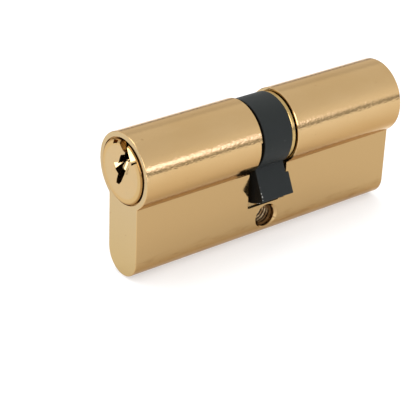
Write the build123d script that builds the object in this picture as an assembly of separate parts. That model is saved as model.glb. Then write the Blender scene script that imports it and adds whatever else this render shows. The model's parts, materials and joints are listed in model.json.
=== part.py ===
from build123d import *
import os
from math import cos, radians, sin, sqrt

# A double euro-profile lock cylinder with a keyed plug at each end and a turning cam in the middle.
# Millimetres. The origin is the centre of the fixing-screw hole, in the middle of the length.
# +X runs along the plugs from the front end to the rear end, +Z is up, and Y crosses the body.

# Housing profile: a round head around the plugs, with a flat-sided tail below it
HEAD_R = 8.5
TAIL_WIDTH = 10.0
PROFILE_HEIGHT = 33.0
CREASE_R = 0.4
HALF_LENGTH = 35.0
END_ROUND = 0.2

# Fixing-screw hole, an M5 thread's major radius, square across the tail
SCREW_R = 2.5
SCREW_MOUTH_R = 3.05

# Height of the plugs' axis above the screw hole, and of the tail's lowest line
PLUG_Z = 18.9
TAIL_Z = PLUG_Z + HEAD_R - PROFILE_HEIGHT
TAIL_R = TAIL_WIDTH / 2

# Cam slot across the middle of the housing
SLOT_HALF = 4.8
SLOT_FLOOR = PLUG_Z - 15.4
SLOT_FRONT_CHAMFER = 0.3
SLOT_REAR_CHAMFER = 0.15
SLOT_FLOOR_CHAMFER = 0.12
RELIEF_X = 5.15
RELIEF_TOP = PLUG_Z + 1.8

# Bore for the plugs, and the wider seat of each plug's front flange
BORE_R = 6.5
RUNNING_GAP = 0.05
SEAT_R = 7.4
SEAT_DEPTH = 1.2

# Plugs
PLUG_R = BORE_R - RUNNING_GAP
FLANGE_R = 7.05
FLANGE_ROUND = 0.3
FACE_FLAT_R = 5.8
FACE_BEVEL_DEPTH = 0.1
FACE_PROUD = 0.55
NOSE_GAP = 1.5
NOSE_SLOT_WIDTH = 3.3
NOSE_SLOT_DEPTH = 2.0
GROOVE_R = 5.7

# Keyway section and the milled places on the keyed face, as (right, up) from the plug's axis
# for someone who looks at that face
KEYWAY = [
    (1.3, 4.6),
    (1.3, 5.25),
    (2.5, 5.25),
    (3.17, 4.05),
    (2.95, 3.6),
    (2.0, 3.4),
    (0.97, 2.97),
    (0.75, 2.3),
    (0.7, 1.3),
    (1.35, 0.8),
    (1.3, 0.1),
    (0.75, -0.95),
    (0.25, -2.0),
    (-0.4, -2.85),
    (-0.85, -3.15),
    (-1.6, -3.05),
    (-1.5, -2.2),
    (-1.0, -0.75),
    (-2.0, -0.1),
    (-0.85, 1.95),
    (-0.5, 3.05),
    (-0.15, 3.85),
]
FACE_NOTCH = [
    (-0.75, 6.4),
    (0.55, 5.15),
    (1.4, 5.0),
    (2.6, 5.0),
    (1.9, 6.35),
    (2.6, 7.4),
    (2.4, 8.2),
    (0.4, 8.2),
]
FACE_NOTCH_DEPTH = 6.0
FACE_POCKET = [(-3.0, 5.3), (-1.5, 6.0), (-1.5, 7.0), (-2.4, 7.0)]
FACE_POCKET_DEPTH = 1.0
FACE_DIMPLE = [(3.5, 3.45), (5.1, 4.45), (5.45, 4.3), (3.65, 3.0)]
FACE_DIMPLE_DEPTH = 1.5

# The pocket and the sloping cuts stop at a thin lip inside the flange's edge
FACE_LIP_R = 6.85

# Sloping cuts in the face: the line where each leaves the face, its outline, and its slope in degrees.
# Each one deepens to the left of its line.
SHOULDER_LINE = ((1.95, 6.27), (3.37, 3.77))
SHOULDER_OUTLINE = [(1.95, 6.27), (3.37, 3.77), (6.0, 5.3), (3.7, 7.3)]
SHOULDER_SLOPE = 45.0
CREST_LINE = ((-1.5, 6.0), (-0.7, 6.2))
CREST_OUTLINE = [(-1.5, 6.0), (-0.7, 6.2), (-0.1, 7.3), (-1.5, 7.3)]
CREST_SLOPE = 30.0
LEAD_LINE = ((-2.5, 1.15), (-1.75, 0.2))
LEAD_OUTLINE = [(-2.5, 1.15), (-1.75, 0.2), (-1.0, 1.1), (-1.1, 1.9)]
LEAD_SLOPE = 45.0

# Tilted round scoop on the right of the keyway: its foot on the face, its tilt, and its outline
SCOOP_R = 1.05
SCOOP_FOOT = (1.7, 0.1)
SCOOP_TILT = 25.0
SCOOP_OUTLINE = [(0.25, -2.0), (3.3, -2.0), (3.3, 3.45), (0.25, 3.1)]

# Pin chambers: one row under each plug, from the keyway down through the tail
CHAMBERS = 6
CHAMBER_R = 1.5
FIRST_CHAMBER = 5.5
CHAMBER_PITCH = 3.96
CHAMBER_TOP = PLUG_Z + 0.2
PIN_R = 1.42
PIN_POINT = 0.6
PIN_POINT_R = 0.5
KEY_PIN_FOOT = PLUG_Z - 6.28
FRONT_KEY_PINS = [3.1, 4.6, 3.6, 5.1, 4.1, 3.6]
REAR_KEY_PINS = [4.1, 3.1, 5.1, 3.6, 4.6, 3.1]
DRIVER_TOP = PLUG_Z - 6.55
DRIVER_LENGTH = 4.6
DRIVER_EDGE = 0.3
CAP_R = 1.49
CAP_TOP = TAIL_Z + 2.4
CAP_SINK = 0.08

# Springs between the driver pins and the chamber caps
SPRING_R = 1.05
SPRING_WIRE_R = 0.17
SPRING_TURNS = 8
SPRING_SEAT_GAP = 0.02

# Cam: a ring around the plugs' noses with one lever
CAM_RING_R = 8.0
CAM_RING_FRONT = -4.05
CAM_RING_REAR = 3.6
LEVER_FRONT = -4.15
LEVER_REAR = 4.45
LEVER_FACE = 2.12
LEVER_BACK = 3.4
LEVER_TIP_R = 15.3
LEVER_NECK_R = 10.3
LEVER_ROOT_R = 7.0
LEVER_ANGLE = 26.0
CAM_EDGE = 0.12
CAM_SLOT_R = 7.35

# Clutch: a thin disc with a cross bar that joins the cam to one plug at a time
CLUTCH_BAR_WIDTH = 3.2
CLUTCH_BAR_R = 7.25
CLUTCH_BAR_FRONT = -3.3
CLUTCH_BAR_REAR = 1.3
CLUTCH_DISC_R = 6.3
CLUTCH_DISC_FRONT = -1.4
CLUTCH_DISC_THICK = 0.8

# Circlips that keep the plugs in the bore; the front one sits in a recess of the slot's wall
FRONT_CIRCLIP_R = 7.3
REAR_CIRCLIP_R = 7.9
CIRCLIP_THICK = 0.85
CIRCLIP_GAP = 0.03
CIRCLIP_MOUTH = 8.4
CIRCLIP_EDGE = 0.12
FRONT_CIRCLIP_X = -4.68
REAR_CIRCLIP_X = 4.12
CIRCLIP_RECESS_R = 7.5


def chamber_places():
    """X of each front chamber; the rear ones are the same on +X."""
    return [-HALF_LENGTH + FIRST_CHAMBER + CHAMBER_PITCH * i for i in range(CHAMBERS)]


def disc(radius, x_from, x_to):
    """A cylinder on the plugs' axis between two X positions."""
    face = Plane.YZ.offset(x_from) * Pos(0, PLUG_Z) * Circle(radius)
    return extrude(face, amount=x_to - x_from)


def ring(outer, inner, x_from, x_to):
    return disc(outer, x_from, x_to) - disc(inner, x_from - 1, x_to + 1)


def pillar(radius, x, z_from, z_to):
    """An upright cylinder in the row of pins."""
    return extrude(Plane.XY.offset(z_from) * Pos(x, 0) * Circle(radius), amount=z_to - z_from)


def block(x_range, y_range, z_range):
    size = [high - low for low, high in (x_range, y_range, z_range)]
    middle = [(high + low) / 2 for low, high in (x_range, y_range, z_range)]
    return Pos(*middle) * Box(*size)


def profile():
    """The euro section in the YZ plane."""
    tail_height = PLUG_Z - TAIL_Z - TAIL_R
    tail = Pos(0, PLUG_Z - tail_height / 2) * Rectangle(TAIL_WIDTH, tail_height)
    section = Pos(0, PLUG_Z) * Circle(HEAD_R) + tail + Pos(0, TAIL_Z + TAIL_R) * Circle(TAIL_R)
    crease_z = PLUG_Z - sqrt(HEAD_R**2 - TAIL_R**2)
    creases = [v for v in section.vertices() if abs(v.Y - crease_z) < 0.01]
    return fillet(creases, CREASE_R)


def housing_blank():
    blank = extrude(Plane.YZ.offset(-HALF_LENGTH) * profile(), amount=2 * HALF_LENGTH)
    ends = blank.faces().sort_by(Axis.X)
    return fillet(ends[0].edges() + ends[-1].edges(), END_ROUND)


def slot_edges(body, side):
    """Outer edges of the slot's wall on one side: -1 front, 1 rear."""
    edges = []
    for face in body.faces().filter_by(Axis.X):
        if SLOT_HALF - 0.1 < side * face.center().X < RELIEF_X + 0.1:
            edges += face.edges().filter_by(GeomType.CIRCLE)
            edges += [e for e in face.edges() if abs(abs(e.center().Y) - TAIL_WIDTH / 2) < 0.01]
    return edges


def cut_cam_slot(body):
    """Cut the slot, with its low relief on the front side, and break its outer edges."""
    wide = (-2 * HEAD_R, 2 * HEAD_R)
    top = PLUG_Z + 2 * HEAD_R
    body -= block((-SLOT_HALF, SLOT_HALF), wide, (SLOT_FLOOR, top))
    body -= block((-RELIEF_X, 0), wide, (SLOT_FLOOR, RELIEF_TOP))
    body = chamfer(slot_edges(body, -1), SLOT_FRONT_CHAMFER)
    body = chamfer(slot_edges(body, 1), SLOT_REAR_CHAMFER)
    side = SLOT_FLOOR_CHAMFER * sqrt(2)
    bevel = Rot(45, 0, 0) * Box(SLOT_HALF + RELIEF_X, side, side)
    for y in (-TAIL_R, TAIL_R):
        body -= Pos((SLOT_HALF - RELIEF_X) / 2, y, SLOT_FLOOR) * bevel
    return body


def screw_hole():
    hole = Rot(90, 0, 0) * Cylinder(SCREW_R, 2 * TAIL_WIDTH)
    lead = SCREW_MOUTH_R - SCREW_R
    for side in (-1, 1):
        mouth = Cone(SCREW_R, SCREW_MOUTH_R + lead, 2 * lead)
        hole += Pos(0, side * TAIL_WIDTH / 2, 0) * Rot(-90 * side, 0, 0) * mouth
    return hole


def housing():
    body = cut_cam_slot(housing_blank())
    body -= disc(BORE_R, -2 * HALF_LENGTH, 2 * HALF_LENGTH)
    body -= disc(CIRCLIP_RECESS_R, -RELIEF_X, 0)
    for side in (-1, 1):
        end = side * HALF_LENGTH
        body -= disc(SEAT_R, min(end, end - side * SEAT_DEPTH), max(end, end - side * SEAT_DEPTH))
    for x in chamber_places():
        for side in (-1, 1):
            body -= pillar(CHAMBER_R, side * x, TAIL_Z - 1, PLUG_Z)
    return body - screw_hole()


def face_prism(outline, face_x, depth):
    """A prism from the front keyed face inwards; the outline is (right, up) for the viewer."""
    section = Polygon(*[(-right, PLUG_Z + up) for right, up in outline], align=None)
    return extrude(Plane.YZ.offset(face_x) * section, amount=depth, dir=(1, 0, 0))


def face_ramp(face_x, line, outline, slope):
    """A sloping cut that leaves the keyed face along a line and deepens to the line's left."""
    (right_0, up_0), (right_1, up_1) = line
    run = Vector(0, right_0 - right_1, up_1 - up_0).normalized()
    start = Vector(face_x, -right_0, PLUG_Z + up_0)
    outward = Vector(-1, 0, 0).cross(run)
    normal = Vector(-1, 0, 0) * cos(radians(slope)) + outward * sin(radians(slope))
    above = Plane(origin=start, x_dir=run, z_dir=normal) * Pos(0, 0, HEAD_R) * Box(60, 60, 2 * HEAD_R)
    return face_prism(outline, face_x, HEAD_R) & above


def key_scoop(face_x):
    """The tilted scoop that guides the key's tip; it deepens upwards."""
    tilt = radians(SCOOP_TILT)
    along = Vector(sin(tilt), 0, cos(tilt))
    outward = Vector(-cos(tilt), 0, sin(tilt))
    foot = Vector(face_x, -SCOOP_FOOT[0], PLUG_Z + SCOOP_FOOT[1])
    cutter = Plane(origin=foot + outward * SCOOP_R, z_dir=along) * Cylinder(SCOOP_R, 2 * HEAD_R)
    return face_prism(SCOOP_OUTLINE, face_x, HEAD_R) & cutter


def cut_face(body, face_x):
    """Mill the notch, the pockets, the sloping cuts and the scoop into the keyed face."""
    inside_lip = disc(FACE_LIP_R, face_x, 0)
    body -= face_prism(FACE_NOTCH, face_x, FACE_NOTCH_DEPTH)
    body -= face_prism(FACE_POCKET, face_x, FACE_POCKET_DEPTH) & inside_lip
    body -= face_prism(FACE_DIMPLE, face_x, FACE_DIMPLE_DEPTH) & inside_lip
    body -= face_ramp(face_x, SHOULDER_LINE, SHOULDER_OUTLINE, SHOULDER_SLOPE) & inside_lip
    body -= face_ramp(face_x, CREST_LINE, CREST_OUTLINE, CREST_SLOPE) & inside_lip
    body -= face_ramp(face_x, LEAD_LINE, LEAD_OUTLINE, LEAD_SLOPE) & inside_lip
    return body - key_scoop(face_x)


def nose_slot(x_from, x_to):
    half = NOSE_SLOT_WIDTH / 2
    return block((x_from, x_to), (-half, half), (PLUG_Z - HEAD_R, PLUG_Z + HEAD_R))


def flange(face_x):
    """The plug's front flange: a flat face, a shallow turned bevel around it and a round edge."""
    back = -HALF_LENGTH + SEAT_DEPTH - RUNNING_GAP
    outline = Polygon(
        (face_x, 0),
        (face_x, FACE_FLAT_R),
        (face_x + FACE_BEVEL_DEPTH, FLANGE_R),
        (back, FLANGE_R),
        (back, 0),
        align=None,
    )
    turned = revolve(Plane.XZ * Pos(0, PLUG_Z) * outline, Axis((0, 0, PLUG_Z), (1, 0, 0)))
    rims = [e for e in turned.edges().filter_by(GeomType.CIRCLE) if abs(e.radius - FLANGE_R) < 0.01]
    return fillet(ShapeList(rims).sort_by(Axis.X)[0], FLANGE_ROUND)


def plug(circlip_x):
    """A plug in the front position, with its keyed face at -X and its nose in the cam."""
    face_x = -HALF_LENGTH - FACE_PROUD
    body = flange(face_x) + disc(PLUG_R, -HALF_LENGTH, -NOSE_GAP)
    body -= face_prism(KEYWAY, face_x, HALF_LENGTH)
    body = cut_face(body, face_x)
    body -= nose_slot(-NOSE_GAP - NOSE_SLOT_DEPTH, -NOSE_GAP + 1)
    half_groove = CIRCLIP_THICK / 2 + CIRCLIP_GAP
    body -= ring(HEAD_R, GROOVE_R, circlip_x - half_groove, circlip_x + half_groove)
    for x in chamber_places():
        body -= pillar(CHAMBER_R, x, PLUG_Z - HEAD_R, CHAMBER_TOP)
    return body


def circlip(x, radius):
    """An open spring ring, pushed on from above."""
    half = CIRCLIP_THICK / 2
    body = chamfer(disc(radius, x - half, x + half).edges(), CIRCLIP_EDGE)
    body -= disc(GROOVE_R + CIRCLIP_GAP, x - 1, x + 1)
    mouth = CIRCLIP_MOUTH / 2
    return body - block((x - 1, x + 1), (-mouth, mouth), (PLUG_Z - HEAD_R, PLUG_Z))


def key_pin(x, length):
    """A pin with a flat foot at the shear line and a blunt point towards the key."""
    body = pillar(PIN_R, x, KEY_PIN_FOOT, KEY_PIN_FOOT + length - PIN_POINT)
    point = Pos(x, 0, KEY_PIN_FOOT + length - PIN_POINT / 2) * Cone(PIN_R, PIN_POINT_R, PIN_POINT)
    return body + point


def driver_pin(x):
    body = pillar(PIN_R, x, DRIVER_TOP - DRIVER_LENGTH, DRIVER_TOP)
    return chamfer(body.edges().filter_by(GeomType.CIRCLE), DRIVER_EDGE)


def chamber_caps(side):
    """The plugs pressed into one row of chambers, cut to the curve of the tail."""
    inside = extrude(Plane.YZ.offset(-HALF_LENGTH) * offset(profile(), -CAP_SINK), amount=2 * HALF_LENGTH)
    return Compound([(pillar(CAP_R, side * x, TAIL_Z, CAP_TOP) & inside).solid() for x in chamber_places()])


def spring(x):
    """A helical spring from the chamber cap up to the foot of the driver pin."""
    low = CAP_TOP + SPRING_WIRE_R + SPRING_SEAT_GAP
    high = DRIVER_TOP - DRIVER_LENGTH - SPRING_WIRE_R - SPRING_SEAT_GAP
    height = high - low
    coil = Pos(x, 0, low) * Helix(height / SPRING_TURNS, height, SPRING_R)
    start = Plane(origin=coil @ 0, z_dir=coil % 0)
    return sweep(start * Circle(SPRING_WIRE_R), path=coil)


def lever():
    """The cam's lever pointing straight down, before it is turned to its place."""
    root = PLUG_Z - LEVER_ROOT_R
    neck = PLUG_Z - LEVER_NECK_R
    tip = PLUG_Z - LEVER_TIP_R - 1
    outline = Polygon(
        (LEVER_FRONT, root),
        (LEVER_FRONT, tip),
        (LEVER_REAR, tip),
        (LEVER_REAR, neck),
        (CAM_RING_REAR, neck),
        (CAM_RING_REAR, root),
        align=None,
    )
    blade = extrude(Plane.XZ.offset(-LEVER_BACK) * outline, amount=LEVER_FACE + LEVER_BACK)
    blade &= disc(LEVER_TIP_R, LEVER_FRONT, LEVER_REAR)
    return chamfer([e for e in blade.edges() if e.center().Z < root - CAM_EDGE], CAM_EDGE)


def cam():
    turned = Pos(0, 0, PLUG_Z) * Rot(-LEVER_ANGLE, 0, 0) * Pos(0, 0, -PLUG_Z) * lever()
    body = chamfer(disc(CAM_RING_R, CAM_RING_FRONT, CAM_RING_REAR).edges(), CAM_EDGE) + turned
    body -= disc(BORE_R, CAM_RING_FRONT - 1, CAM_RING_REAR + 1)
    half = NOSE_SLOT_WIDTH / 2
    key_slots = block((CAM_RING_FRONT - 1, CAM_RING_REAR + 1), (-half, half), (0, 2 * PLUG_Z))
    return body - (key_slots & disc(CAM_SLOT_R, CAM_RING_FRONT - 1, CAM_RING_REAR + 1))


def clutch():
    half = CLUTCH_BAR_WIDTH / 2
    bar = block((CLUTCH_BAR_FRONT, CLUTCH_BAR_REAR), (-half, half), (0, 2 * PLUG_Z))
    bar &= disc(CLUTCH_BAR_R, CLUTCH_BAR_FRONT, CLUTCH_BAR_REAR)
    return bar + disc(CLUTCH_DISC_R, CLUTCH_DISC_FRONT, CLUTCH_DISC_FRONT + CLUTCH_DISC_THICK)


def to_rear(shape):
    """Turn a front piece round to the rear end."""
    return Rot(0, 0, 180) * shape


def pieces():
    nodes = {
        "housing": housing(),
        "front_plug": plug(FRONT_CIRCLIP_X),
        "rear_plug": to_rear(plug(-REAR_CIRCLIP_X)),
        "front_circlip": circlip(FRONT_CIRCLIP_X, FRONT_CIRCLIP_R),
        "rear_circlip": circlip(REAR_CIRCLIP_X, REAR_CIRCLIP_R),
        "cam": cam(),
        "clutch": clutch(),
        "front_chamber_caps": chamber_caps(1),
        "rear_chamber_caps": chamber_caps(-1),
    }
    for i, x in enumerate(chamber_places()):
        number = i + 1
        nodes[f"front_key_pin_{number}"] = key_pin(x, FRONT_KEY_PINS[i])
        nodes[f"rear_key_pin_{number}"] = key_pin(-x, REAR_KEY_PINS[i])
        for end, side in (("front", 1), ("rear", -1)):
            nodes[f"{end}_driver_pin_{number}"] = driver_pin(side * x)
            nodes[f"{end}_spring_{number}"] = spring(side * x)
    return nodes


os.makedirs("parts", exist_ok=True)
for name, shape in pieces().items():
    export_step(shape, f"parts/{name}.step")
    print(name, round(shape.volume, 2))
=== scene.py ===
import json
from math import cos, pi, radians, sin

import bmesh
import bpy
from mathutils import Matrix, Vector

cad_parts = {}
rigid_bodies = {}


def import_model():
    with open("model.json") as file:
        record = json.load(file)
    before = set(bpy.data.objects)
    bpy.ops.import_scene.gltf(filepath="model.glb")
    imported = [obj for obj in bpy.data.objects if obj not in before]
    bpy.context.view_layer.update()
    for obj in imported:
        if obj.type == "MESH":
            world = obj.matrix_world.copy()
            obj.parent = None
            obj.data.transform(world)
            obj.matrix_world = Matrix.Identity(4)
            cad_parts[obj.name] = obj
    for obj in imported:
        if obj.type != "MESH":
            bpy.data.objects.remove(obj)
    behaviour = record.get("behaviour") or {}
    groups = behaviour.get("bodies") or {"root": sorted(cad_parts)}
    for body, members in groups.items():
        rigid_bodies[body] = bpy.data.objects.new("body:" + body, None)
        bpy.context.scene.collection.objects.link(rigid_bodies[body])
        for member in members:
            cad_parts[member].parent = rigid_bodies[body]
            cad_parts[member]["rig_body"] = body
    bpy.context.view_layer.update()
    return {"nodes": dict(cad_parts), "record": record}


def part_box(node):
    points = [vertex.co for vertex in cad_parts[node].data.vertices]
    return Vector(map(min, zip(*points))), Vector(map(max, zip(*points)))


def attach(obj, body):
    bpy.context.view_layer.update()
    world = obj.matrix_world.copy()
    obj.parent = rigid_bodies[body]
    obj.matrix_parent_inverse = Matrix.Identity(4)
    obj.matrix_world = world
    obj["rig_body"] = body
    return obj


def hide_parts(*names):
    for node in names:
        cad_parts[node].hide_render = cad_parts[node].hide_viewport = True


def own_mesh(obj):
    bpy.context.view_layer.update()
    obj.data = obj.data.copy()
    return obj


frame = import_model()

MM = 0.001

# Places read from the frame
HOUSING_LOW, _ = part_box("housing")
CLUTCH_LOW, CLUTCH_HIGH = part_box("clutch")
AXIS_Z = (CLUTCH_LOW.z + CLUTCH_HIGH.z) / 2
MOUNTS = {mount["name"]: mount for mount in frame["record"]["mounts"]}
SCREW = MOUNTS["fixing_screw"]
HOLE_R = SCREW["dims"]["r_mm"]

# The camera's place, in metres from the plugs' axis at mid-length, its directions, and its lens
CAMERA_OFFSET = Vector((-0.19529, -0.22850, 0.14414))
CAMERA_RIGHT = Vector((0.79200, -0.60936, 0.03762))
CAMERA_UP = Vector((0.26649, 0.40049, 0.87669))
CAMERA_LENS = 131.78
CAMERA_SENSOR = 36.0


def make_camera():
    data = bpy.data.cameras.new("camera")
    data.lens = CAMERA_LENS
    data.sensor_width = CAMERA_SENSOR
    data.clip_start = 0.01
    camera = bpy.data.objects.new("camera", data)
    bpy.context.scene.collection.objects.link(camera)
    right = CAMERA_RIGHT.normalized()
    back = right.cross(CAMERA_UP).normalized()
    up = back.cross(right)
    turn = Matrix((right, up, back)).transposed().to_4x4()
    camera.matrix_world = Matrix.Translation(Vector((0, 0, AXIS_Z)) + CAMERA_OFFSET) @ turn
    bpy.context.scene.camera = camera


# ---------------------------------------------------------------- light and stage

# The floor, in metres. It glows a little, so that it stays near white around the part.
FLOOR_SIZE = 3.0
FLOOR_DROP = 0.0002
FLOOR_COLOUR = (0.60, 0.60, 0.60, 1)
FLOOR_ROUGHNESS = 0.9
FLOOR_GLOW_COLOUR = (1, 1, 1, 1)
FLOOR_GLOW = 0.43

# Brightness of the dome against the direction's height, from straight down to straight up
DOME = [
    (-1.0, 0.70),
    (-0.03, 0.70),
    (0.00, 0.34),
    (0.05, 0.34),
    (0.11, 1.10),
    (0.25, 1.28),
    (0.38, 1.20),
    (0.60, 1.04),
    (1.0, 0.95),
]

# Soft windows: azimuth from -Y towards +X, half width, lowest and highest elevation, in degrees, then
# the added brightness, and how much more blue it has. The ones below zero darken the dome.
WINDOWS = [
    (12.0, 25.0, 9.5, 17.5, 1.80, 0.60),
    (-64.0, 19.0, 5.5, 30.0, 3.60, 0.0),
    (-146.0, 20.0, 8.0, 28.0, 0.80, 0.0),
    (-160.0, 90.0, 60.0, 88.0, 2.60, 0.0),
    (66.0, 28.0, 4.2, 8.0, -0.55, 0.0),
    (66.0, 28.0, -3.0, 3.0, 0.25, 0.0),
    (165.0, 48.0, 3.0, 36.0, -0.25, 0.0),
]
# Half the width of a window's soft edge, in degrees
WINDOW_SOFT = 1.6


class Sky:
    """World nodes that work on the azimuth and the height of the view direction."""

    def __init__(self, tree):
        self.tree = tree
        split = self.add("ShaderNodeSeparateXYZ")
        self.link(self.add("ShaderNodeTexCoord").outputs["Generated"], split.inputs[0])
        self.height = split.outputs["Z"]
        flipped = self.math("MULTIPLY", split.outputs["Y"], -1.0)
        self.azimuth = self.math("ARCTAN2", split.outputs["X"], flipped)

    def add(self, kind):
        return self.tree.nodes.new(kind)

    def link(self, source, socket):
        if isinstance(source, float):
            socket.default_value = source
        else:
            self.tree.links.new(source, socket)

    def math(self, operation, a, b):
        node = self.add("ShaderNodeMath")
        node.operation = operation
        self.link(a, node.inputs[0])
        self.link(b, node.inputs[1])
        return node.outputs[0]

    def fade(self, source, start, end, to_low, to_high):
        node = self.add("ShaderNodeMapRange")
        node.interpolation_type = "SMOOTHSTEP"
        self.link(source, node.inputs["Value"])
        self.link(start, node.inputs["From Min"])
        self.link(end, node.inputs["From Max"])
        self.link(to_low, node.inputs["To Min"])
        self.link(to_high, node.inputs["To Max"])
        return node.outputs["Result"]

    def dome(self):
        ramp = self.add("ShaderNodeValToRGB")
        place = self.add("ShaderNodeMapRange")
        self.link(self.height, place.inputs["Value"])
        self.link(-1.0, place.inputs["From Min"])
        self.link(place.outputs["Result"], ramp.inputs["Fac"])
        elements = ramp.color_ramp.elements
        while len(elements) < len(DOME):
            elements.new(0.5)
        for element, (height, level) in zip(elements, DOME):
            element.position = (height + 1) / 2
            element.color = (level, level, level, 1)
        return ramp.outputs["Color"]

    def window(self, centre, half_width, low, high, level):
        """A soft-edged patch of added brightness, with its place and size in degrees."""
        soft = radians(WINDOW_SOFT)
        turned = self.math("SUBTRACT", self.azimuth, radians(centre))
        wrapped = self.add("ShaderNodeMath")
        wrapped.operation = "WRAP"
        self.link(turned, wrapped.inputs[0])
        self.link(pi, wrapped.inputs[1])
        self.link(-pi, wrapped.inputs[2])
        off_centre = self.math("ABSOLUTE", wrapped.outputs[0], 0.0)
        width = radians(half_width)
        across = self.fade(off_centre, width - soft, width + soft, level, 0.0)
        foot, top = radians(low), radians(high)
        above = self.fade(self.height, sin(foot - soft), sin(foot + soft), 0.0, 1.0)
        below = self.fade(self.height, sin(top - soft), sin(top + soft), 1.0, 0.0)
        return self.math("MULTIPLY", across, self.math("MULTIPLY", above, below))


def make_world():
    """A soft studio dome with windows, and a thin darker line at the horizon."""
    world = bpy.data.worlds.new("studio")
    world.use_nodes = True
    bpy.context.scene.world = world
    sky = Sky(world.node_tree)
    grey = sky.dome()
    blue = 0.0
    for *window, coolness in WINDOWS:
        patch = sky.window(*window)
        grey = sky.math("ADD", grey, patch)
        blue = sky.math("ADD", blue, sky.math("MULTIPLY", patch, coolness))
    colour = sky.add("ShaderNodeCombineXYZ")
    sky.link(grey, colour.inputs["X"])
    sky.link(grey, colour.inputs["Y"])
    sky.link(sky.math("ADD", grey, blue), colour.inputs["Z"])
    sky.link(colour.outputs[0], world.node_tree.nodes["Background"].inputs["Color"])


def make_floor():
    mesh = bpy.data.meshes.new("floor")
    build = bmesh.new()
    bmesh.ops.create_grid(build, x_segments=1, y_segments=1, size=FLOOR_SIZE / 2)
    build.to_mesh(mesh)
    build.free()
    floor = bpy.data.objects.new("floor", mesh)
    bpy.context.scene.collection.objects.link(floor)
    floor.location = (0, 0, HOUSING_LOW.z - FLOOR_DROP)
    white = bpy.data.materials.new("floor_white")
    white.use_nodes = True
    shader = white.node_tree.nodes["Principled BSDF"]
    shader.inputs["Base Color"].default_value = FLOOR_COLOUR
    shader.inputs["Roughness"].default_value = FLOOR_ROUGHNESS
    shader.inputs["Emission Color"].default_value = FLOOR_GLOW_COLOUR
    shader.inputs["Emission Strength"].default_value = FLOOR_GLOW
    mesh.materials.append(white)


# ---------------------------------------------------------------- materials

# A metal's tint where it is seen at a grazing angle
EDGE_TINT = (0.86, 0.76, 0.66, 1.0)


class Paint:
    """A procedural material around one Principled shader, in millimetre object coordinates."""

    def __init__(self, name, metallic, roughness):
        self.material = bpy.data.materials.new(name)
        self.material.use_nodes = True
        self.tree = self.material.node_tree
        self.shader = self.tree.nodes["Principled BSDF"]
        self.shader.inputs["Metallic"].default_value = metallic
        self.shader.inputs["Roughness"].default_value = roughness
        self.shader.inputs["Specular Tint"].default_value = EDGE_TINT
        self.object_space = self.tree.nodes.new("ShaderNodeTexCoord").outputs["Object"]

    def add(self, kind, **settings):
        node = self.tree.nodes.new(kind)
        for key, value in settings.items():
            setattr(node, key, value)
        return node

    def feed(self, source, socket):
        if isinstance(source, (int, float, tuple)):
            socket.default_value = source
        else:
            self.tree.links.new(source, socket)

    def grid(self, per_mm):
        """Object coordinates times features per millimetre along X, Y and Z."""
        scale = self.add("ShaderNodeVectorMath", operation="MULTIPLY")
        self.feed(self.object_space, scale.inputs[0])
        self.feed(tuple(step / MM for step in per_mm), scale.inputs[1])
        return scale.outputs[0]

    def noise(self, per_mm, detail=2.0, seed=0.0):
        node = self.add("ShaderNodeTexNoise", noise_dimensions="4D")
        self.feed(self.grid(per_mm), node.inputs["Vector"])
        self.feed(seed, node.inputs["W"])
        self.feed(1.0, node.inputs["Scale"])
        self.feed(detail, node.inputs["Detail"])
        return node.outputs["Fac"]

    def along(self, axis):
        """The object coordinate along X, Y or Z, in metres."""
        split = self.add("ShaderNodeSeparateXYZ")
        self.feed(self.object_space, split.inputs[0])
        return split.outputs[axis]

    def height(self):
        return self.along("Z")

    def radius(self, centre, across):
        """Distance from a centre, in metres, along the directions where across is 1."""
        shifted = self.add("ShaderNodeVectorMath", operation="SUBTRACT")
        self.feed(self.object_space, shifted.inputs[0])
        self.feed(centre, shifted.inputs[1])
        flat = self.add("ShaderNodeVectorMath", operation="MULTIPLY")
        self.feed(shifted.outputs[0], flat.inputs[0])
        self.feed(across, flat.inputs[1])
        length = self.add("ShaderNodeVectorMath", operation="LENGTH")
        self.feed(flat.outputs[0], length.inputs[0])
        return length.outputs["Value"]

    def facing(self):
        """How squarely the surface faces along X, either way, and how far up (1) or down (-1)."""
        split = self.add("ShaderNodeSeparateXYZ")
        self.feed(self.add("ShaderNodeTexCoord").outputs["Normal"], split.inputs[0])
        return self.math("ABSOLUTE", split.outputs["X"], 0.0), split.outputs["Z"]

    def spread(self, source, low, high, to_low=0.0, to_high=1.0):
        """Runs from to_low to to_high, and no further, as the source runs from low to high."""
        node = self.add("ShaderNodeMapRange")
        self.feed(source, node.inputs["Value"])
        self.feed(low, node.inputs["From Min"])
        self.feed(high, node.inputs["From Max"])
        self.feed(to_low, node.inputs["To Min"])
        self.feed(to_high, node.inputs["To Max"])
        return node.outputs["Result"]

    def band(self, source, millimetres, to_low=0.0, to_high=1.0):
        """The same for a source in metres, between two measures in millimetres."""
        low, high = millimetres
        return self.spread(source, low * MM, high * MM, to_low, to_high)

    def math(self, operation, a, b):
        node = self.add("ShaderNodeMath", operation=operation)
        self.feed(a, node.inputs[0])
        self.feed(b, node.inputs[1])
        return node.outputs[0]

    def mix(self, amount, a, b):
        node = self.add("ShaderNodeMix", data_type="RGBA")
        self.feed(amount, node.inputs["Factor"])
        self.feed(a, node.inputs["A"])
        self.feed(b, node.inputs["B"])
        return node.outputs["Result"]

    def bump(self, height, depth_mm, strength=1.0, below=None):
        node = self.add("ShaderNodeBump")
        self.feed(strength, node.inputs["Strength"])
        self.feed(depth_mm * MM, node.inputs["Distance"])
        self.feed(height, node.inputs["Height"])
        if below:
            self.feed(below, node.inputs["Normal"])
        return node.outputs["Normal"]

    def colour(self, source):
        self.feed(source, self.shader.inputs["Base Color"])

    def rough(self, source):
        self.feed(source, self.shader.inputs["Roughness"])

    def normal(self, source):
        self.feed(source, self.shader.inputs["Normal"])


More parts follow.
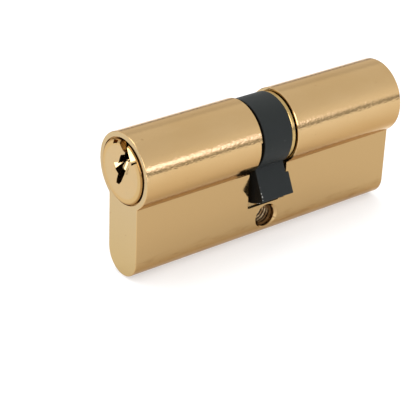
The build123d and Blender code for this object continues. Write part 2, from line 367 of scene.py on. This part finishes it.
def rgb(red, green, blue):
    return (red, green, blue, 1.0)


BRASS = rgb(0.565, 0.388, 0.192)
BRASS_DEEP = rgb(0.535, 0.355, 0.163)
# The tail's darker tone: partly its milled finish, partly painted shade for the shaded floor it faces
BRASS_MILLED_SHADED = rgb(0.460, 0.318, 0.154)
BRASS_END = rgb(0.496, 0.373, 0.206)
BRASS_END_FOOT = rgb(0.500, 0.368, 0.178)
BRASS_RING = rgb(0.520, 0.345, 0.140)
# Painted light: a pale colour that lightens the shade in the crease below the head
BRASS_CREASE_LIGHT = rgb(0.780, 0.640, 0.430)
# Painted shade: brown at the plug's outer edge, beside the dark gap
BRASS_RIM_SHADE = rgb(0.300, 0.155, 0.045)
# Painted shade, warm, for the round head's lower side and the tail's foot
BRASS_SHADE_WARM = rgb(0.385, 0.217, 0.070)
# Darker colour inside the screw hole
BRASS_HOLE_DARK = rgb(0.140, 0.070, 0.022)
BRASS_CLIP = rgb(0.500, 0.365, 0.162)
BRASS_CLIP_DEEP = rgb(0.440, 0.290, 0.105)
STAIN = rgb(0.230, 0.110, 0.030)
THREAD_CLEAN = rgb(0.560, 0.420, 0.250)
THREAD_DIRTY = rgb(0.200, 0.110, 0.045)
THREAD_OILY = rgb(0.085, 0.042, 0.014)
CAM_BLACK = rgb(0.0125, 0.0142, 0.0136)
CAM_BLACK_LIGHT = rgb(0.0195, 0.0218, 0.0208)
# Painted shade on the cam's faces along X, in the slot's shade
CAM_SIDE_SHADE = rgb(0.0035, 0.0030, 0.0025)
CAM_BARE = rgb(0.300, 0.300, 0.280)
STEEL = rgb(0.45, 0.45, 0.46)
STEEL_DEEP = rgb(0.36, 0.36, 0.37)
STEEL_DULL = rgb(0.25, 0.25, 0.26)
STEEL_DULL_DEEP = rgb(0.16, 0.16, 0.17)
STEEL_WIRE = rgb(0.5, 0.5, 0.5)
STEEL_WIRE_DEEP = rgb(0.4, 0.4, 0.4)

# Heights on the housing, in millimetres from the screw hole: the head's foot, and the tail's
HEAD_FOOT = 12.1
TAIL_FOOT = -5.7

# Height ranges over which a colour fades in, in millimetres from the screw hole: the tail's start,
# the end faces' change towards the foot, the painted shade at the foot, the stains, and the painted
# light in the crease below the head
TAIL_BEGINS = (HEAD_FOOT + 0.2, HEAD_FOOT - 0.2)
END_FOOT_FADE = (HEAD_FOOT, TAIL_FOOT)
FOOT_SHADE_HEIGHTS = (3.3, TAIL_FOOT)
STAINED_FOOT = (0.5, -4.5)
CREASE_LIGHT_LINE = (HEAD_FOOT - 0.5, HEAD_FOOT - 0.3)

# How far up (1) or down (-1) a surface faces where a mark fades: the painted shade on the round
# head's lower side comes in and goes out again, and the painted light in the crease below the head
# comes in
UNDERSIDE_SHADE_IN = (0.22, -0.36)
UNDERSIDE_SHADE_OUT = (-0.44, -0.62)
CREASE_LIGHT_TURN = (-0.52, -0.72)

# How squarely a surface faces along X: the long sides stop, and the end faces begin
SIDES_STOP = (0.3, 0.7)
ENDS_BEGIN = (0.90, 0.97)

# How much of each mark shows where it is strongest: painted shade at the foot, on the round head's
# lower side and at the plug's outer edge, painted light in the crease, and the stains, specks and
# ring
FOOT_SHADE = 0.65
UNDERSIDE_SHADE = 0.62
UNDERSIDE_SHADE_LEFT = 0.10
CREASE_LIGHT = 0.7
FOOT_STAINS = 0.70
SPECKS = 0.7
RING = 0.7
RIM_SHADE = 0.9

# How far past the screw hole's radius the darker colour inside the hole fades out and is full, in
# millimetres
HOLE_DARK_EDGE = (0.10, 0.02)

# Radii on the plugs' faces over which a colour fades in, in millimetres: past the flat part, and at
# the outer edge, where painted shade darkens it
PLUG_FLAT_R = 5.8
PLUG_RIM_R = 6.8
PLUG_RING = (PLUG_FLAT_R - 0.2, PLUG_FLAT_R + 0.2)
PLUG_RIM_SHADE = (PLUG_RIM_R - 0.25, PLUG_RIM_R + 0.10)

# Depths of the polishing grain, rubbed patches and turned faces, in millimetres. The grain is full
# on the round head, and GRAIN_LEFT of it is left elsewhere.
GRAIN_DEPTH = 0.030
GRAIN_LEFT = 0.15
RUBBED_DEPTH = 0.004
TURNED_DEPTH = 0.003

# The step in the noise over which a spot's edge fades
SPOT_EDGE = 0.03


def spots(paint, per_mm, least, seed):
    """A mask that is 1 inside scattered small spots."""
    return paint.spread(paint.noise(per_mm, 1.0, seed), least, least + SPOT_EDGE)


def brass_body():
    """Drawn and polished brass beneath clear lacquer, with painted shade on the round head's lower
    side and towards the tail's foot, painted light in the crease, a darker screw hole and small
    stains.
    """
    paint = Paint("brass_body", 1.0, 0.12)
    along, up = paint.facing()
    sides = paint.spread(along, *SIDES_STOP, 1.0, 0.0)
    ends = paint.spread(along, *ENDS_BEGIN)
    tail = paint.band(paint.height(), TAIL_BEGINS)
    colour = brass_tone(paint, sides, ends, tail)
    colour = brass_wear(paint, colour, sides, up)
    off_screw = paint.radius((0.0, 0.0, 0.0), (1.0, 0.0, 1.0))
    in_hole = paint.band(off_screw, [HOLE_R + step for step in HOLE_DARK_EDGE])
    # Darker inside the screw hole
    paint.colour(paint.mix(in_hole, colour, BRASS_HOLE_DARK))
    streaks = paint.noise((1.6, 2.1, 2.1), 2.0)
    paint.rough(paint.spread(streaks, 0.3, 0.7, 0.09, 0.15))
    on_head = paint.math("MULTIPLY", sides, paint.math("SUBTRACT", 1.0, tail))
    waves = paint.math("SUBTRACT", streaks, 0.5)
    full = paint.spread(on_head, 0.0, 1.0, GRAIN_LEFT, 1.0)
    grain = paint.bump(paint.math("MULTIPLY", waves, full), GRAIN_DEPTH)
    rubbed = paint.spread(paint.noise((0.12, 3.5, 3.5), 1.0, 5.0), 0.72, 0.76)
    paint.normal(paint.bump(rubbed, RUBBED_DEPTH, below=grain))
    return paint.material


def brass_tone(paint, sides, ends, tail):
    """The brass: clouded on the round head, darker on the tail for its milled finish and as painted
    shade, paler on the end faces.
    """
    clouds = paint.spread(paint.noise((0.05, 0.12, 0.12), 3.0), 0.35, 0.70)
    colour = paint.mix(clouds, BRASS, BRASS_DEEP)
    # Partly painted shade: the tail's long sides are darker, for their milled finish and for the
    # shaded floor they face
    colour = paint.mix(paint.math("MULTIPLY", sides, tail), colour, BRASS_MILLED_SHADED)
    # The end faces turn slightly warmer towards the foot
    end_colour = paint.mix(paint.band(paint.height(), END_FOOT_FADE), BRASS_END, BRASS_END_FOOT)
    return paint.mix(ends, colour, end_colour)


def brass_wear(paint, colour, sides, up):
    """What lies over the brass: painted shade on the round head's lower side and towards the foot,
    painted light in the crease, stains and specks.
    """
    # Painted shade: the long sides grow darker and warmer towards the tail's foot, near the shaded
    # floor
    foot_shade = paint.math("MULTIPLY", sides, paint.band(paint.height(), FOOT_SHADE_HEIGHTS, 0.0, FOOT_SHADE))
    # Painted shade on the round head's lower side, where it faces down
    underside_shade = paint.math(
        "MINIMUM",
        paint.spread(up, *UNDERSIDE_SHADE_IN, 0.0, UNDERSIDE_SHADE),
        paint.spread(up, *UNDERSIDE_SHADE_OUT, UNDERSIDE_SHADE, UNDERSIDE_SHADE_LEFT),
    )
    under_shade = paint.math("MULTIPLY", sides, underside_shade)
    colour = paint.mix(paint.math("MAXIMUM", foot_shade, under_shade), colour, BRASS_SHADE_WARM)
    # Painted light: the crease below the head, where it faces down, is painted pale to lighten its
    # shade
    above_crease = paint.band(paint.height(), CREASE_LIGHT_LINE)
    crease_light = paint.math("MULTIPLY", above_crease, paint.spread(up, *CREASE_LIGHT_TURN, 0.0, CREASE_LIGHT))
    colour = paint.mix(crease_light, colour, BRASS_CREASE_LIGHT)
    low = paint.band(paint.height(), STAINED_FOOT, 0.0, FOOT_STAINS)
    blotches = paint.spread(paint.noise((0.20, 0.8, 0.8), 3.0, 3.0), 0.50, 0.64)
    foot_stains = paint.math("MULTIPLY", sides, paint.math("MULTIPLY", low, blotches))
    specks = paint.math("MULTIPLY", SPECKS, spots(paint, (1.1, 1.4, 1.4), 0.76, 7.0))
    return paint.mix(paint.math("MAXIMUM", foot_stains, specks), colour, STAIN)


def brass_plug():
    """Turned and lacquered brass, deeper in the ring outside the flat face, with painted brown shade
    at the outer edge.
    """
    paint = Paint("brass_plug", 1.0, 0.16)
    clouds = paint.noise((0.3, 0.3, 0.3), 3.0)
    colour = paint.mix(clouds, BRASS_END, BRASS)
    off_axis = paint.radius((0.0, 0.0, AXIS_Z), (0.0, 1.0, 1.0))
    ring = paint.band(off_axis, PLUG_RING, 0.0, RING)
    # Painted shade: the plug's outer edge turns brown
    rim_shade = paint.band(off_axis, PLUG_RIM_SHADE, 0.0, RIM_SHADE)
    paint.colour(paint.mix(rim_shade, paint.mix(ring, colour, BRASS_RING), BRASS_RIM_SHADE))
    paint.normal(paint.bump(paint.noise((2.0, 2.0, 2.0), 3.0), TURNED_DEPTH))
    return paint.material


def clip_brass():
    """The circlips' duller brass."""
    paint = Paint("clip_brass", 1.0, 0.2)
    paint.colour(paint.mix(paint.noise((1.0, 1.0, 1.0)), BRASS_CLIP, BRASS_CLIP_DEEP))
    paint.normal(paint.bump(paint.noise((3.0, 3.0, 3.0)), TURNED_DEPTH))
    return paint.material


def plain_metal(name, light, dark, roughness):
    paint = Paint(name, 1.0, roughness)
    paint.colour(paint.mix(paint.noise((1.5, 1.5, 1.5), 3.0), light, dark))
    paint.normal(paint.bump(paint.noise((4.0, 4.0, 4.0), 3.0), 0.004))
    return paint.material


# The chipped edge of the cam's lever, in millimetres: ranges along X where the chips fade in and
# out, and the height range where they fade in down the lever
CHIPPED_FROM = (-3.85, -3.95)
CHIPPED_TO = (-4.14, -4.11)
CHIPPED_BELOW = (9.5, 9.0)

# How squarely the cam's surface faces along X where painted shade darkens its sides, which stand in
# the slot's shade
CAM_SIDE_SHADE_BEGINS = (0.80, 0.95)

# The cam's dull black reflects little, and slightly cool
CAM_SPECULAR = 0.14
CAM_SPECULAR_TINT = (0.92, 0.99, 1.0, 1.0)
CAM_GRAIN_DEPTH = 0.01
CAM_SPECKS = 0.35


def cam_steel():
    """Sintered steel, blackened, with a fine dry grain and a few bright nicks."""
    paint = Paint("cam_steel", 0.0, 0.55)
    paint.shader.inputs["Specular IOR Level"].default_value = CAM_SPECULAR
    paint.shader.inputs["Specular Tint"].default_value = CAM_SPECULAR_TINT
    grain = paint.noise((5.0, 5.0, 5.0), 4.0)
    dark = paint.mix(grain, CAM_BLACK, CAM_BLACK_LIGHT)
    specks = paint.math("MULTIPLY", CAM_SPECKS, spots(paint, (2.6, 2.6, 2.6), 0.775, 2.0))
    front_edge = paint.math(
        "MULTIPLY",
        paint.band(paint.along("X"), CHIPPED_FROM),
        paint.band(paint.along("X"), CHIPPED_TO),
    )
    chipped = paint.math("MULTIPLY", front_edge, paint.band(paint.height(), CHIPPED_BELOW))
    chips = paint.math("MULTIPLY", chipped, spots(paint, (2.2, 1.6, 1.6), 0.55, 4.0))
    along, _ = paint.facing()
    # Painted shade: faces along X, which stand in the slot's shade, are darker
    dark = paint.mix(paint.spread(along, *CAM_SIDE_SHADE_BEGINS), dark, CAM_SIDE_SHADE)
    paint.colour(paint.mix(paint.math("MAXIMUM", specks, chips), dark, CAM_BARE))
    paint.rough(paint.spread(grain, 0.3, 0.7, 0.45, 0.62))
    paint.normal(paint.bump(grain, CAM_GRAIN_DEPTH))
    return paint.material


# Distance from the middle of the screw hole over which oil darkens its thread, in millimetres
THREAD_OILED = (1.2, 3.0)


def thread_brass():
    """Cut thread, darkened by oil at the hole's mouths."""
    paint = Paint("thread_brass", 1.0, 0.25)
    off_middle = paint.math("ABSOLUTE", paint.along("Y"), 0.0)
    oiled = paint.band(off_middle, THREAD_OILED)
    patches = paint.spread(paint.noise((0.8, 0.8, 0.8), 2.0), 0.40, 0.60)
    clean = paint.mix(patches, THREAD_CLEAN, THREAD_DIRTY)
    paint.colour(paint.mix(oiled, clean, THREAD_OILY))
    paint.normal(paint.bump(paint.noise((4.0, 4.0, 4.0), 2.0), 0.006))
    return paint.material


# ---------------------------------------------------------------- screw thread

THREAD_PITCH = 0.8 * MM
THREAD_CREST_R = 2.1 * MM

# How far the ridge's root is sunk into the hole's wall
THREAD_SINK = 0.04 * MM

# Half the ridge's width along the hole, at its root and at its crest
ROOT_HALF = 0.37 * MM
CREST_HALF = 0.06 * MM

# Steps in a turn, the turns over which the ridge fades out at an end, and the least part of its
# height that is left there
THREAD_STEPS = 40
FADE_TURNS = 0.5
LEAST_HEIGHT = 0.05


def make_thread():
    """The screw hole's inner thread, as one ridge that winds along it and fades out at both ends."""
    root = HOLE_R * MM + THREAD_SINK
    length = SCREW["dims"]["length_mm"] * MM - 2 * ROOT_HALF
    steps = int(length / THREAD_PITCH * THREAD_STEPS)
    build = bmesh.new()
    rows = []
    for i in range(steps + 1):
        angle = 2 * pi * i / THREAD_STEPS
        along = -length / 2 + length * i / steps
        turns_from_end = min(i, steps - i) / THREAD_STEPS
        height = min(1.0, max(turns_from_end / FADE_TURNS, LEAST_HEIGHT))
        crest = root + (THREAD_CREST_R - root) * height
        section = [(root, -ROOT_HALF), (crest, -CREST_HALF), (crest, CREST_HALF), (root, ROOT_HALF)]
        rows.append(
            [build.verts.new((r * cos(angle), along + y, r * sin(angle))) for r, y in section]
        )
    for row, following in zip(rows, rows[1:]):
        for j in range(4):
            build.faces.new((row[j], row[(j + 1) % 4], following[(j + 1) % 4], following[j]))
    build.faces.new(rows[0][::-1])
    build.faces.new(rows[-1])
    bmesh.ops.recalc_face_normals(build, faces=build.faces[:])
    mesh = bpy.data.meshes.new("screw_thread")
    build.to_mesh(mesh)
    build.free()
    thread = bpy.data.objects.new("screw_thread", mesh)
    bpy.context.scene.collection.objects.link(thread)
    thread.location = SCREW["pos_m"]
    mesh.materials.append(thread_brass())
    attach(thread, "housing")


# ---------------------------------------------------------------- springs


def make_springs():
    """The pin springs: each one the joints list as deforming is copied into a coil of its own, in
    spring steel, on the same body, and the CAD spring is hidden.
    """
    finish = plain_metal("spring_steel", STEEL_WIRE, STEEL_WIRE_DEEP, 0.25)
    for joint in frame["record"]["behaviour"]["joints"]:
        for spring in joint.get("deforming_nodes", []):
            node = spring["node"]
            coil = bpy.data.objects.new(node + "_coil", frame["nodes"][node].data.copy())
            bpy.context.scene.collection.objects.link(coil)
            coil.data.materials.clear()
            coil.data.materials.append(finish)
            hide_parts(node)
            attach(coil, frame["nodes"][node]["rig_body"])
            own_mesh(coil)


def paint_nodes():
    """Gives every CAD node its finish, other than the springs, which their coils stand for."""
    finishes = {
        "brass_body": brass_body(),
        "brass_plug": brass_plug(),
        "clip_brass": clip_brass(),
        "cap_brass": plain_metal("cap_brass", BRASS, BRASS_DEEP, 0.22),
        "pin_brass": plain_metal("pin_brass", BRASS, BRASS_DEEP, 0.2),
        "cam_steel": cam_steel(),
        "clutch_steel": plain_metal("clutch_steel", STEEL_DULL, STEEL_DULL_DEEP, 0.4),
        "driver_steel": plain_metal("driver_steel", STEEL, STEEL_DEEP, 0.25),
    }
    for part in frame["record"]["subparts"]:
        if part["material_slot"] in finishes:
            piece = frame["nodes"][part["node"]]
            piece.data.materials.clear()
            piece.data.materials.append(finishes[part["material_slot"]])


make_camera()
bpy.context.scene.view_settings.view_transform = "Standard"
make_world()
make_floor()
make_thread()
make_springs()
paint_nodes()
